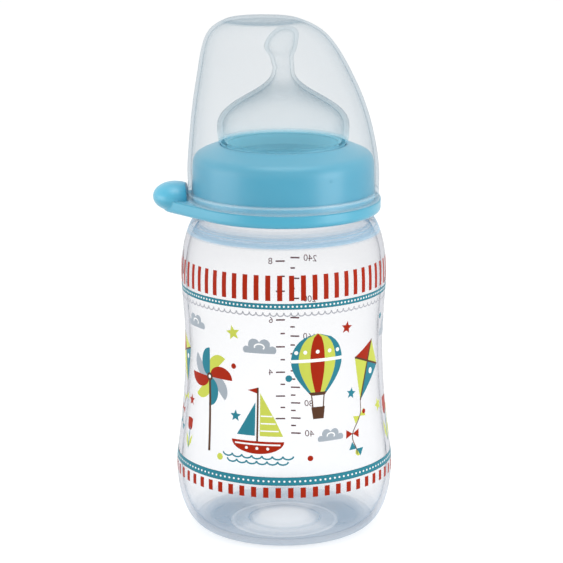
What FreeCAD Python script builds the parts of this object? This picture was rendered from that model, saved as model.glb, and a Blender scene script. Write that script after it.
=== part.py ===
import FreeCAD, Part
import math
import os

from FreeCAD import Vector

# A wide-neck baby bottle: a clear waisted bottle, a screw ring with a thumb tab,
# a soft teat snapped into the ring, and a clear hood that covers the teat.
# Millimetres, +Z up. The origin is the middle of the foot, on the surface that it stands on.
# The thumb tab points to -X, and the long slope of the hood faces +X.

# Fits between the pieces
THREAD_GAP = 0.3            # ring bore to the crest of the neck thread
RING_STAND_OFF = 0.75       # shoulder of the bottle to the underside of the ring
TEAT_GAP = 0.2              # teat to the ring around its groove
TEAT_FLANGE_GAP = 0.4       # edge of the teat's flange to the ring bore
HOOD_GAP = 0.4              # ring wall to the inside of the hood
HOOD_SNAP_GAP = 0.15        # ring wall to the hood's snap bead
TAB_GAP = 0.4               # outside of the hood to the inner face of the tab
TIP_HEADROOM = 1.4          # tip of the teat to the roof of the hood

# Bottle body
FOOT_RADIUS = 25.0          # where the flat foot ends and the corner starts to rise
FOOT_WIDTH = 6.0
PUNT_RISE = 2.8             # height of the domed hollow under the floor
PUNT_FULL = 0.45            # share of the hollow that runs level at its edge and at its middle
BELLY_RADIUS = 35.65
BELLY_HEIGHT = 21.0
WAIST_RADIUS = 32.45
WAIST_HEIGHT = 63.0
CHEST_RADIUS = 33.45
CHEST_HEIGHT = 86.0
SHOULDER_HEIGHT = 105.0     # flat land under the ring
BODY_WALL = 1.5
FLOOR_WALL = 1.8

# How far each curve of the body runs straight on before it turns, as a share of its span
CORNER_OUT = 0.615
CORNER_UP = 0.571
BELLY_UP = 0.167
WAIST_DOWN = 0.524
WAIST_UP = 0.35
CHEST_DOWN = 0.35
CHEST_UP = 0.55
SHOULDER_OUT = 0.5

# Neck of the bottle
NECK_RADIUS = 26.0          # root of the thread
NECK_WALL = 2.0
NECK_LENGTH = 16.4
NECK_FILLET = 1.0
RIM_ROUNDING = 0.6
BEAD_PROUD = 0.9            # moulded bead under the thread
BEAD_RISE = 2.8             # middle of the bead above the shoulder
THREAD_DEPTH = 1.2

# Screw ring
RING_WALL = 2.15
RING_DRAFT = 0.3            # radius that the wall loses on its way up
RING_ROUND_DROP = 3.4       # where the wall starts to round over, below the clamping face
RING_ROUND_IN = 2.8         # how far the rounding comes in
RING_ROUND_FULL = 0.66      # how square the rounding is: the share of it that runs straight on
RING_LIP = 2.0              # thickness of the ring's roof
RING_CONE_RISE = 2.6        # rise of the roof from its rounded edge to the opening
RING_OPENING_RADIUS = 20.3
RING_LIP_EDGE = 1.7         # height of the opening's edge, which sits in the teat's groove
RING_LIP_ROUNDING = 0.5
RING_CLAMP_WIDTH = 2.6      # flat face in the roof that presses on the teat's flange
RING_LEAD_IN = 0.7          # chamfer at the mouth of the bore
FLANGE_OVERHANG = 1.85
FLANGE_THICKNESS = 4.15
FLANGE_ROUNDING = 1.4

# Thumb tab: a round pebble on a web that widens into the flange
TAB_REACH = 42.3            # axis of the bottle to the end of the tab
TAB_RADIUS = 7.2            # of the pebble, seen from above
TAB_HEIGHT = 9.45
TAB_FLAT = 0.6              # radius of the pebble's level middle
WEB_RADIUS = 8.0            # of the web's round end
WEB_INSET = 3.2             # the web's end lies this far inside the pebble's

# Teat
TEAT_FLANGE = 2.0           # thickness of the flange between the bottle's rim and the ring
TEAT_RIM_COVER = 1.2        # how far the flange reaches in past the bottle's rim
TEAT_COLLAR_WALL = 2.0
TEAT_WALL = 1.8
TEAT_OVERHANG = 0.95        # bulge of the teat beyond the ring's opening
TEAT_BULGE_RISE = 5.7       # widest place above the ring's lip
TEAT_DOME_RISE = 17.8       # from the widest place to the neck of the nipple
TEAT_DOME_UP = 0.46
TEAT_DOME_DOWN = 0.39
NIPPLE_NECK_RADIUS = 3.55
NIPPLE_WALL = 1.1
NIPPLE_LENGTH = 13.9
BULB_RISE = 7.4             # widest place of the bulb above the nipple's neck
BULB_HALF_THICKNESS = 5.3
BULB_HALF_WIDTH = 7.6
BULB_SWELL_POWER = 2.3      # how long the neck stays slim before it swells
BULB_CROWN_POWER = 2.5      # how full the crown is: 2 is an ellipse
BULB_SET_BACK = 0.8         # the bulb leans to -X at its widest place
BULB_LEAN = 1.8             # and its tip leans to +X from there
BULB_NECK_STEPS = 4         # sections of the loft, up to the bulb's widest place and over its crown
BULB_CROWN_TURNS = (18, 36, 54, 72, 84)
FEED_HOLE_RADIUS = 0.4
VALVE_RADIUS = 1.9          # small round air valve at the teat's widest place
VALVE_PROUD = 0.5
VALVE_TURN = 35.0           # degrees from +X towards -Y
VALVE_HOLE_RADIUS = 0.35

# Hood
HOOD_WALL = 1.2
HOOD_RIM_HEIGHT = 2.6       # thickened band at the open end
HOOD_STEEP_LEAN = 7.4       # how far the steep side has come in at the top
HOOD_STEEP_POWER = 2.0
HOOD_SLOPE_LEAN = 20.7      # how far the sloping side has come in at the top
HOOD_SLOPE_POWER = 2.3
HOOD_TOP_ROUNDING = 7.7
HOOD_SIDE_STEPS = 6         # sections of the loft, up the side and round the top edge
HOOD_ROUND_STEPS = 4

# Levels and radii that follow from the sizes above
RIM_LEVEL = SHOULDER_HEIGHT + NECK_LENGTH
CLAMP_LEVEL = RIM_LEVEL + TEAT_FLANGE
RING_BOTTOM = SHOULDER_HEIGHT + RING_STAND_OFF
FLANGE_TOP = RING_BOTTOM + FLANGE_THICKNESS
RING_BORE = NECK_RADIUS + THREAD_DEPTH + THREAD_GAP
RING_RADIUS = RING_BORE + RING_WALL
FLANGE_RADIUS = RING_RADIUS + FLANGE_OVERHANG
LIP_TOP = CLAMP_LEVEL + RING_LIP + RING_CONE_RISE
LIP_UNDERSIDE = LIP_TOP - RING_LIP_EDGE
CLAMP_INNER_RADIUS = RING_BORE - RING_CLAMP_WIDTH
COLLAR_RADIUS = RING_OPENING_RADIUS - TEAT_GAP
BULGE_RADIUS = RING_OPENING_RADIUS + TEAT_OVERHANG
BULGE_LEVEL = LIP_TOP + TEAT_BULGE_RISE
NIPPLE_LEVEL = BULGE_LEVEL + TEAT_DOME_RISE
TIP_LEVEL = NIPPLE_LEVEL + NIPPLE_LENGTH
HOOD_RADIUS = RING_RADIUS + HOOD_GAP + HOOD_WALL
HOOD_TOP = TIP_LEVEL + TIP_HEADROOM + HOOD_WALL
HOOD_HEIGHT = HOOD_TOP - FLANGE_TOP

AXIS_START = Vector(0, 0, 0)
UP = Vector(0, 0, 1)
SAME_POINT = 1e-6


def at(radius, height):
    """A point of an outline, in the half plane that is turned about the axis."""
    return Vector(radius, 0, height)


def line(start, end):
    return [Part.LineSegment(at(*start), at(*end)).toShape()]


def curve(*poles):
    """A Bezier edge; its first and last poles are its ends."""
    bezier = Part.BezierCurve()
    bezier.setPoles([at(*pole) for pole in poles])
    return [bezier.toShape()]


def run(*corners):
    """Straight edges through (radius, height) corners; a third number rounds that corner."""
    points = [at(*corner[:2]) for corner in corners]
    edges = []
    start = points[0]
    for index in range(1, len(corners)):
        corner = points[index]
        rounding = corners[index][2] if len(corners[index]) > 2 else 0
        if not rounding:
            if start.distanceToPoint(corner) > SAME_POINT:
                edges.append(Part.LineSegment(start, corner).toShape())
            start = corner
            continue
        back = (points[index - 1] - corner).normalize()
        ahead = (points[index + 1] - corner).normalize()
        half_angle = back.getAngle(ahead) / 2
        inward = (back + ahead).normalize()
        leave = corner + back * (rounding / math.tan(half_angle))
        rejoin = corner + ahead * (rounding / math.tan(half_angle))
        middle = corner + inward * (rounding / math.sin(half_angle) - rounding)
        if start.distanceToPoint(leave) > SAME_POINT:
            edges.append(Part.LineSegment(start, leave).toShape())
        edges.append(Part.Arc(leave, middle, rejoin).toShape())
        start = rejoin
    return edges


def turned(edges):
    """A solid of revolution from the edges of a closed outline."""
    wire = Part.Wire(Part.__sortEdges__(edges))
    return Part.Face(wire).revolve(AXIS_START, UP, 360)


def cylinder(radius, bottom, top):
    return Part.makeCylinder(radius, top - bottom, Vector(0, 0, bottom))


def body_curve(inset, floor, neck_radius):
    """The side of the body from its foot to its shoulder, moved in by inset."""
    foot = FOOT_RADIUS - inset
    belly = BELLY_RADIUS - inset
    waist = WAIST_RADIUS - inset
    chest = CHEST_RADIUS - inset
    shoulder = SHOULDER_HEIGHT - inset
    corner_rise = BELLY_HEIGHT - floor
    flank = WAIST_HEIGHT - BELLY_HEIGHT
    swell = CHEST_HEIGHT - WAIST_HEIGHT
    turn_in = shoulder - CHEST_HEIGHT
    corner = curve(
        (foot, floor),
        (foot + CORNER_OUT * (belly - foot), floor),
        (belly, BELLY_HEIGHT - CORNER_UP * corner_rise),
        (belly, BELLY_HEIGHT),
    )
    lower = curve(
        (belly, BELLY_HEIGHT),
        (belly, BELLY_HEIGHT + BELLY_UP * flank),
        (waist, WAIST_HEIGHT - WAIST_DOWN * flank),
        (waist, WAIST_HEIGHT),
    )
    upper = curve(
        (waist, WAIST_HEIGHT),
        (waist, WAIST_HEIGHT + WAIST_UP * swell),
        (chest, CHEST_HEIGHT - CHEST_DOWN * swell),
        (chest, CHEST_HEIGHT),
    )
    shoulder_turn = curve(
        (chest, CHEST_HEIGHT),
        (chest, CHEST_HEIGHT + CHEST_UP * turn_in),
        (neck_radius + SHOULDER_OUT * (chest - neck_radius), shoulder),
        (neck_radius, shoulder),
    )
    return corner + lower + upper + shoulder_turn


def punt(floor):
    """The dome of the hollow, from the inner edge of the foot to the middle."""
    foot_inner = FOOT_RADIUS - FOOT_WIDTH
    roof = floor + PUNT_RISE
    level = PUNT_FULL * foot_inner
    return curve((foot_inner, floor), (foot_inner - level, floor), (level, roof), (0, roof))


def bottle_body():
    neck_foot = NECK_RADIUS + NECK_FILLET
    bore = NECK_RADIUS - NECK_WALL
    bore_foot = bore + NECK_FILLET
    bead_level = SHOULDER_HEIGHT + BEAD_RISE
    inner_shoulder = SHOULDER_HEIGHT - BODY_WALL
    foot_inner = FOOT_RADIUS - FOOT_WIDTH

    outside = body_curve(0, 0, neck_foot)
    neck_outside = run(
        (neck_foot, SHOULDER_HEIGHT),
        (NECK_RADIUS, SHOULDER_HEIGHT, NECK_FILLET),
        (NECK_RADIUS, bead_level - BEAD_PROUD),
    )
    bead = [Part.Arc(
        at(NECK_RADIUS, bead_level - BEAD_PROUD),
        at(NECK_RADIUS + BEAD_PROUD, bead_level),
        at(NECK_RADIUS, bead_level + BEAD_PROUD),
    ).toShape()]
    rim = run(
        (NECK_RADIUS, bead_level + BEAD_PROUD),
        (NECK_RADIUS, RIM_LEVEL, RIM_ROUNDING),
        (bore, RIM_LEVEL, RIM_ROUNDING),
        (bore, inner_shoulder, NECK_FILLET),
        (bore_foot, inner_shoulder),
    )
    inside = body_curve(BODY_WALL, FLOOR_WALL, bore_foot)
    floor_inside = line((FOOT_RADIUS - BODY_WALL, FLOOR_WALL), (foot_inner, FLOOR_WALL)) + punt(FLOOR_WALL)
    underside = line((FOOT_RADIUS, 0), (foot_inner, 0)) + punt(0)
    middle = line((0, PUNT_RISE), (0, PUNT_RISE + FLOOR_WALL))
    return turned(outside + neck_outside + bead + rim + inside + floor_inside + underside + middle)


def ring_outside():
    round_start = CLAMP_LEVEL - RING_ROUND_DROP
    round_end = CLAMP_LEVEL + RING_LIP
    wall_top = RING_RADIUS - RING_DRAFT
    roof_edge = wall_top - RING_ROUND_IN
    # the rounding leaves the wall upright and ends on the line of the roof
    roof_slope = (LIP_TOP - round_end) / (roof_edge - RING_OPENING_RADIUS)
    roof_run = RING_ROUND_FULL * RING_ROUND_IN
    rounding = curve(
        (wall_top, round_start),
        (wall_top, round_start + RING_ROUND_FULL * (round_end - round_start)),
        (roof_edge + roof_run, round_end - roof_slope * roof_run),
        (roof_edge, round_end),
    )
    roof = run(
        (roof_edge, round_end),
        (RING_OPENING_RADIUS, LIP_TOP, RING_LIP_ROUNDING),
        (RING_OPENING_RADIUS, LIP_UNDERSIDE),
        (0, LIP_UNDERSIDE),
        (0, RING_BOTTOM),
        (RING_RADIUS, RING_BOTTOM),
        (wall_top, round_start),
    )
    return turned(rounding + roof)


def ring_inside():
    """What is taken out of the ring: the bore for the neck, the teat's seat and the opening."""
    return turned(run(
        (0, RING_BOTTOM),
        (RING_BORE + RING_LEAD_IN, RING_BOTTOM),
        (RING_BORE, RING_BOTTOM + RING_LEAD_IN),
        (RING_BORE, CLAMP_LEVEL),
        (CLAMP_INNER_RADIUS, CLAMP_LEVEL),
        (RING_OPENING_RADIUS, LIP_UNDERSIDE),
        (RING_OPENING_RADIUS, LIP_TOP),
        (0, LIP_TOP),
        (0, RING_BOTTOM),
    ))


def flange_plan():
    """The flange from above: its circle and the web's round end, joined by their tangents."""
    end_centre = TAB_REACH - WEB_INSET - WEB_RADIUS
    cosine = (FLANGE_RADIUS - WEB_RADIUS) / end_centre
    sine = math.sqrt(1 - cosine ** 2)
    near = Vector(-FLANGE_RADIUS * cosine, -FLANGE_RADIUS * sine, RING_BOTTOM)
    far = Vector(near.x, -near.y, RING_BOTTOM)
    near_end = Vector(-end_centre - WEB_RADIUS * cosine, -WEB_RADIUS * sine, RING_BOTTOM)
    far_end = Vector(near_end.x, -near_end.y, RING_BOTTOM)
    edges = [
        Part.Arc(near, Vector(FLANGE_RADIUS, 0, RING_BOTTOM), far).toShape(),
        Part.LineSegment(far, far_end).toShape(),
        Part.Arc(far_end, Vector(-end_centre - WEB_RADIUS, 0, RING_BOTTOM), near_end).toShape(),
        Part.LineSegment(near_end, near).toShape(),
    ]
    return Part.Face(Part.Wire(edges))


def flange():
    plate = flange_plan().extrude(UP * FLANGE_THICKNESS)
    underside = [edge for edge in plate.Edges if edge.BoundBox.ZMax < RING_BOTTOM + SAME_POINT]
    return plate.makeFillet(FLANGE_ROUNDING, underside)


def tab():
    """The pebble, with half an ellipse for its edge, hollowed where the hood stands."""
    middle = RING_BOTTOM + TAB_HEIGHT / 2
    top = RING_BOTTOM + TAB_HEIGHT
    ellipse = Part.Ellipse(at(TAB_RADIUS, middle), at(TAB_FLAT, top), at(TAB_FLAT, middle))
    edge = [Part.ArcOfEllipse(ellipse, -math.pi / 2, math.pi / 2).toShape()]
    sides = run(
        (TAB_FLAT, top),
        (0, top),
        (0, RING_BOTTOM),
        (TAB_FLAT, RING_BOTTOM),
    )
    pebble = turned(edge + sides)
    pebble.translate(Vector(TAB_RADIUS - TAB_REACH, 0, 0))
    return pebble.cut(cylinder(HOOD_RADIUS + TAB_GAP, FLANGE_TOP, top))


def screw_ring():
    outside = ring_outside().fuse(flange()).fuse(tab())
    return outside.cut(ring_inside()).removeSplitter()


def dome_curve(bulge, nipple, sink):
    """The flank of the teat, upright at the bulge and at the nipple's neck."""
    return curve(
        (bulge, BULGE_LEVEL),
        (bulge, BULGE_LEVEL + TEAT_DOME_UP * TEAT_DOME_RISE - sink),
        (nipple, NIPPLE_LEVEL - TEAT_DOME_DOWN * TEAT_DOME_RISE - sink),
        (nipple, NIPPLE_LEVEL),
    )


def bulge_curve(collar, bulge, start):
    """The teat's side from its collar in the ring up to its widest place."""
    rise = BULGE_LEVEL - start
    return curve(
        (collar, start),
        (bulge, start),
        (bulge, start + rise / 2),
        (bulge, BULGE_LEVEL),
    )


def teat_outside():
    flange_radius = RING_BORE - TEAT_FLANGE_GAP
    seat_inner = CLAMP_INNER_RADIUS - TEAT_GAP
    collar_start = LIP_TOP + TEAT_GAP
    lower = run(
        (0, NIPPLE_LEVEL),
        (0, RIM_LEVEL),
        (flange_radius, RIM_LEVEL),
        (flange_radius, CLAMP_LEVEL),
        (seat_inner, CLAMP_LEVEL),
        (COLLAR_RADIUS, LIP_UNDERSIDE - TEAT_GAP),
        (COLLAR_RADIUS, collar_start),
    )
    bulge = bulge_curve(COLLAR_RADIUS, BULGE_RADIUS, collar_start)
    dome = dome_curve(BULGE_RADIUS, NIPPLE_NECK_RADIUS, 0)
    roof = line((NIPPLE_NECK_RADIUS, NIPPLE_LEVEL), (0, NIPPLE_LEVEL))
    return turned(lower + bulge + dome + roof)


def teat_inside():
    mouth = COLLAR_RADIUS - TEAT_COLLAR_WALL
    bore = NIPPLE_NECK_RADIUS - NIPPLE_WALL
    lower = run(
        (0, NIPPLE_LEVEL),
        (0, RIM_LEVEL),
        (NECK_RADIUS - NECK_WALL - TEAT_RIM_COVER, RIM_LEVEL),
        (mouth, LIP_UNDERSIDE - TEAT_FLANGE),
        (mouth, LIP_TOP),
    )
    bulge = bulge_curve(mouth, BULGE_RADIUS - TEAT_WALL, LIP_TOP)
    dome = dome_curve(BULGE_RADIUS - TEAT_WALL, bore, TEAT_WALL / 2)
    roof = line((bore, NIPPLE_LEVEL), (0, NIPPLE_LEVEL))
    return turned(lower + bulge + dome + roof)


def oval(centre, half_x, half_y, height):
    """A flat oval wire across the nipple."""
    ellipse = Part.Ellipse(
        Vector(centre, half_y, height), Vector(centre + half_x, 0, height), Vector(centre, 0, height)
    )
    return Part.Wire([ellipse.toShape()])


def ease(share):
    """A share from 0 to 1 that starts and ends gently."""
    return share ** 2 * (3 - 2 * share)


def nipple(wall):
    """The nipple moved in by wall: a round neck that swells to a flattened bulb with a leaning tip."""
    neck = NIPPLE_NECK_RADIUS - wall
    half_x = BULB_HALF_THICKNESS - wall
    half_y = BULB_HALF_WIDTH - wall
    full_crown = NIPPLE_LENGTH - BULB_RISE
    crown = full_crown - wall
    # the round section starts where the ovals do, so that the loft doesn't twist
    round_neck = Part.Wire([Part.Circle(Vector(0, 0, NIPPLE_LEVEL), UP, neck).toShape()])
    round_neck.rotate(AXIS_START, UP, 90)
    wires = [round_neck]
    for number in range(1, BULB_NECK_STEPS + 1):
        step = number / BULB_NECK_STEPS
        swell = ease(step ** BULB_SWELL_POWER)
        wires.append(oval(
            -BULB_SET_BACK * ease(step),
            neck + (half_x - neck) * swell,
            neck + (half_y - neck) * swell,
            NIPPLE_LEVEL + BULB_RISE * step,
        ))
    for turn in BULB_CROWN_TURNS:
        step = math.sin(math.radians(turn)) ** (2 / BULB_CROWN_POWER)
        close = math.cos(math.radians(turn)) ** (2 / BULB_CROWN_POWER)
        wires.append(oval(
            -BULB_SET_BACK + BULB_LEAN * ease(crown * step / full_crown),
            half_x * close,
            half_y * close,
            NIPPLE_LEVEL + BULB_RISE + crown * step,
        ))
    return Part.makeLoft(wires, True, False)


def air_valve():
    """A low round boss through the teat's wall, and the pinhole in it."""
    turn = math.radians(VALVE_TURN)
    outward = Vector(math.cos(turn), -math.sin(turn), 0)
    start = outward * (BULGE_RADIUS - TEAT_WALL) + UP * BULGE_LEVEL
    depth = TEAT_WALL + VALVE_PROUD
    boss = Part.makeCylinder(VALVE_RADIUS, depth, start, outward)
    hole = Part.makeCylinder(VALVE_HOLE_RADIUS, 2 * depth, start - outward * depth / 2, outward)
    return boss, hole


def teat():
    outside = teat_outside().fuse(nipple(0))
    inside = teat_inside().fuse(nipple(NIPPLE_WALL))
    feed_hole = Part.makeCylinder(
        FEED_HOLE_RADIUS, NIPPLE_LENGTH, Vector(BULB_LEAN - BULB_SET_BACK, 0, NIPPLE_LEVEL + BULB_RISE)
    )
    valve, valve_hole = air_valve()
    return outside.fuse(valve).cut(inside).cut(feed_hole).cut(valve_hole).removeSplitter()


def hood_loft(inset):
    """The hood as round sections that shift towards the tab as they rise, moved in by inset."""
    top = HOOD_HEIGHT - inset
    rounding = HOOD_TOP_ROUNDING - inset
    side = top - rounding
    levels = [(side * step / HOOD_SIDE_STEPS, 0) for step in range(HOOD_SIDE_STEPS)]
    for step in range(HOOD_ROUND_STEPS + 1):
        turn = math.pi / 2 * step / HOOD_ROUND_STEPS
        levels.append((side + rounding * math.sin(turn), rounding * (1 - math.cos(turn))))
    wires = []
    for height, round_in in levels:
        share = height / HOOD_HEIGHT
        steep = HOOD_RADIUS - HOOD_STEEP_LEAN * share ** HOOD_STEEP_POWER - inset - round_in
        slope = HOOD_RADIUS - HOOD_SLOPE_LEAN * share ** HOOD_SLOPE_POWER - inset - round_in
        centre = Vector((slope - steep) / 2, 0, FLANGE_TOP + height)
        wires.append(Part.Wire([Part.Circle(centre, UP, (steep + slope) / 2).toShape()]))
    return Part.makeLoft(wires, True, False)


def protective_cap():
    snap = RING_RADIUS + HOOD_SNAP_GAP
    rim = cylinder(HOOD_RADIUS - HOOD_WALL / 2, FLANGE_TOP, FLANGE_TOP + HOOD_RIM_HEIGHT)
    rim = rim.cut(cylinder(snap, FLANGE_TOP, FLANGE_TOP + HOOD_RIM_HEIGHT))
    return hood_loft(0).cut(hood_loft(HOOD_WALL)).fuse(rim).removeSplitter()


PIECES = {
    "bottle_body": bottle_body,
    "teat": teat,
    "screw_ring": screw_ring,
    "protective_cap": protective_cap,
}

os.makedirs("parts", exist_ok=True)
for name, make in PIECES.items():
    shape = make()
    print(name, "solids", len(shape.Solids), "valid", shape.isValid(), "volume", round(shape.Volume, 1))
    shape.exportStep(f"parts/{name}.step")
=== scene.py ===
import math

import bmesh
import bpy
import numpy as np
from mathutils import Matrix, Vector


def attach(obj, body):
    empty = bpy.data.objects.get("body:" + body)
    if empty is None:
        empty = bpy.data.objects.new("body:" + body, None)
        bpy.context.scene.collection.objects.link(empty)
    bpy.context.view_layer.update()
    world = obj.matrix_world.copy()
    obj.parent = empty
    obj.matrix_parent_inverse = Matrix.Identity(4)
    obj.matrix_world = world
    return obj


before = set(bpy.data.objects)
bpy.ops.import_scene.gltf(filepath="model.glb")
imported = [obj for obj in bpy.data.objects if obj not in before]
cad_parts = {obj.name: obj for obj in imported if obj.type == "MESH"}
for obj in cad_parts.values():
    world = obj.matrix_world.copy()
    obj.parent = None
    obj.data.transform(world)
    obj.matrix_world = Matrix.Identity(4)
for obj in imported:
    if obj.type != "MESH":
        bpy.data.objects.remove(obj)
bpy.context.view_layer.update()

# A clear baby bottle with a printed front, a turquoise screw ring, a silicone teat and a clear hood.
# The solids come from the frame. This script adds the print, the screw threads, the gate mark,
# the materials, the light and the camera. Sizes are in millimetres, as in the solids, and MM turns
# them into metres.
MM = 0.001

# Camera, as in the photograph
CAMERA_PLACE = (-0.73, -733.0, 255.9)
CAMERA_PITCH = 13.36        # degrees below the horizon
CAMERA_ROLL = -0.17         # degrees
CAMERA_LENS = 147.4
CAMERA_SENSOR = 36.0

# Light and floor
SKY_LIGHT = 0.7             # what the surroundings give to matt surfaces
SOFTBOXES = {               # place, width and height of the box, brightness
    "left": ((-480, -120, 120), (400, 240), 2.5),
    "right": ((430, -255, 120), (300, 240), 4.0),
    "top": ((0, -120, 760), (500, 500), 2.8),
}
AIM = (0, 0, 110)           # what the softboxes point at
CLEAR_LAYERS = 40           # enough for sight and light to pass through every clear wall
FLOOR_SIZE = 8000.0
FLOOR_DROP = 0.02
FLOOR_COLOUR = (0.75, 0.75, 0.75)
FLOOR_ROUGH = 0.9
FLOOR_LIFT = 0.47           # brings the lit floor up to the white of the background

# Colours of the plastics, in linear light
TURQUOISE = (0.062, 0.43, 0.62)
ROOF_PAINTED_SHEEN = (0.115, 0.47, 0.64)      # painted sheen: the ring's roof is painted paler, for the reflection of the hood and the sky in it
FLANGE_PAINTED_SHADE = (0.034, 0.365, 0.535)  # painted shade: the ring's flange and tab are painted deeper
GATE_BLUE = (0.045, 0.34, 0.5)
PALE_GREY = (0.25, 0.27, 0.32)
# painted shadow: the shadowed floor seen through the base
BASE_PAINTED_SHADOW = (0.3, 0.49, 0.68)
# painted reflection of the blue ring in the bottle's shoulder
SHOULDER_PAINTED_REFLECTION = (0.22, 0.46, 0.65)
SEAT_PAINTED_LIGHT = (0.4, 0.86, 1.0)         # painted light: the ring's blue, lightened against the shade of its opening, on the teat's foot and on the neck inside the ring
SILICONE_GREY = (0.1, 0.2, 0.27)
HOOD_GREY = (0.12, 0.24, 0.32)
# painted glints on the edges of the hood's rim band
RIM_PAINTED_GLINT = (0.7, 0.86, 0.92)

# Look of the solid plastics and the inks
SOLID_GRAIN = (90, 3)       # waves for each metre, and detail
ROUGH_SPREAD = 0.04         # unevenness of the roughness, up and down
RING_ROUGH = 0.38
RING_MOTTLE = 0.012         # unevenness of the colour, as a share of it
RING_SHINE = 0.8
RING_SHEEN = 0.35
RING_SHEEN_ROUGH = 0.45
RING_SHEEN_TINT = (1.0, 0.95, 0.9)
RING_SOFT_EDGE = 1.2        # radius of the ring's moulded edges
EDGE_SAMPLES = 8
FLANGE_SHADE_FADE = (109.4, 110.4)  # heights over which the flange's painted shade gives way to the wall's colour
ROOF_SHEEN_FADE = (120.5, 124.5)    # and the wall's colour to the roof's painted sheen
GATE_ROUGH = 0.4
GATE_MOTTLE = 0.05
GATE_SHINE = 0.5
INK_ROUGH = 0.35
INK_MOTTLE = 0.05
INK_SHINE = 0.05

# Look of the clear pieces. A tint and its density for each metre belong to the body. A veil on the skin is
# (how edge-on, how dense) from flat on to edge on, and bands are (height, colour, share of the veil,
# added density) from the bottom up.
CLEAR_GRAIN = (60, 2)       # waves for each metre, and detail
RIPPLE_GRAIN = (45, 1)
RIPPLE_STRENGTH = 0.15
RIPPLE_HEIGHT = 0.4
BOTTLE_ROUGH = (0.04, 0.1)
BOTTLE_SHINE = 0.15
BOTTLE_TINT = (0.0, 0.03, 0.15)
BOTTLE_DENSITY = 20.0
BOTTLE_VEIL = ((0.0, 0.05), (0.5, 0.055), (0.72, 0.09), (0.8, 0.18), (0.87, 0.45), (1.0, 0.8))
# The bands paint the floor's shadow seen through the base, the ring's reflection in the shoulder, and
# light in the ring's blue on the neck inside the ring.
BOTTLE_BANDS = (
    (0.0, BASE_PAINTED_SHADOW, 0.7, 0.02), (10.0, BASE_PAINTED_SHADOW, 0.8, 0.0), (17.0, PALE_GREY, 1.0, 0.0),
    (78.0, PALE_GREY, 1.0, 0.0), (86.0, PALE_GREY, 1.0, 0.02), (98.9, PALE_GREY, 1.0, 0.02),
    (99.6, SHOULDER_PAINTED_REFLECTION, 1.0, 0.42), (100.1, SHOULDER_PAINTED_REFLECTION, 1.0, 0.5),
    (100.7, SHOULDER_PAINTED_REFLECTION, 1.0, 0.36), (101.5, SHOULDER_PAINTED_REFLECTION, 1.0, 0.36),
    (101.9, SHOULDER_PAINTED_REFLECTION, 1.0, 0.46), (102.4, SHOULDER_PAINTED_REFLECTION, 1.0, 0.22),
    (103.2, SHOULDER_PAINTED_REFLECTION, 1.0, 0.22), (103.7, SHOULDER_PAINTED_REFLECTION, 1.0, 0.04),
    (105.0, SHOULDER_PAINTED_REFLECTION, 1.0, 0.04), (110.0, SEAT_PAINTED_LIGHT, 1.0, 0.1),
    (113.5, SEAT_PAINTED_LIGHT, 1.0, 0.75), (121.4, SEAT_PAINTED_LIGHT, 1.0, 0.75),
)
TEAT_ROUGH = (0.15, 0.25)
TEAT_SHINE = 0.3
TEAT_TINT = (0.0, 0.38, 0.52)
TEAT_DENSITY = 20.0
TEAT_VEIL = ((0.0, 0.01), (0.35, 0.02), (0.6, 0.07), (0.84, 0.2), (0.94, 0.6), (1.0, 1.0))
# The teat's foot carries painted light in the ring's blue, over the shade in the ring's opening.
TEAT_BANDS = (
    (0.0, SEAT_PAINTED_LIGHT, 1.0, 0.9), (127.4, SEAT_PAINTED_LIGHT, 1.0, 0.9), (128.4, SEAT_PAINTED_LIGHT, 0.5, 0.35),
    (129.3, SEAT_PAINTED_LIGHT, 0.4, 0.05), (130.5, SEAT_PAINTED_LIGHT, 0.4, 0.01), (133.0, SILICONE_GREY, 1.0, 0.0),
    (140.0, SILICONE_GREY, 1.2, 0.0), (147.0, SILICONE_GREY, 1.7, 0.0), (152.0, SILICONE_GREY, 1.2, 0.0),
    (157.0, SILICONE_GREY, 0.55, 0.0), (168.0, SILICONE_GREY, 0.3, 0.0),
)
CAP_ROUGH = (0.08, 0.14)
CAP_SHINE = 0.3
CAP_TINT = (0.0, 0.24, 0.38)
CAP_DENSITY = 26.0
CAP_VEIL = ((0.0, 0.06), (0.45, 0.065), (0.7, 0.1), (0.82, 0.17), (0.89, 0.42), (1.0, 0.85))
# The two light bands at the rim are painted glints on its edges.
CAP_BANDS = (
    (0.0, RIM_PAINTED_GLINT, 1.0, 0.0), (109.9, RIM_PAINTED_GLINT, 0.5, 0.35), (110.5, RIM_PAINTED_GLINT, 0.5, 0.06),
    (111.8, RIM_PAINTED_GLINT, 0.5, 0.06), (112.3, RIM_PAINTED_GLINT, 0.5, 0.35), (112.8, HOOD_GREY, 1.0, 0.0),
    (166.9, HOOD_GREY, 1.0, 0.0), (167.35, HOOD_GREY, 1.0, 0.35), (167.65, HOOD_GREY, 1.0, 0.35),
    (167.9, HOOD_GREY, 1.0, 0.09), (168.0, HOOD_GREY, 1.0, 0.09),
)

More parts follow.
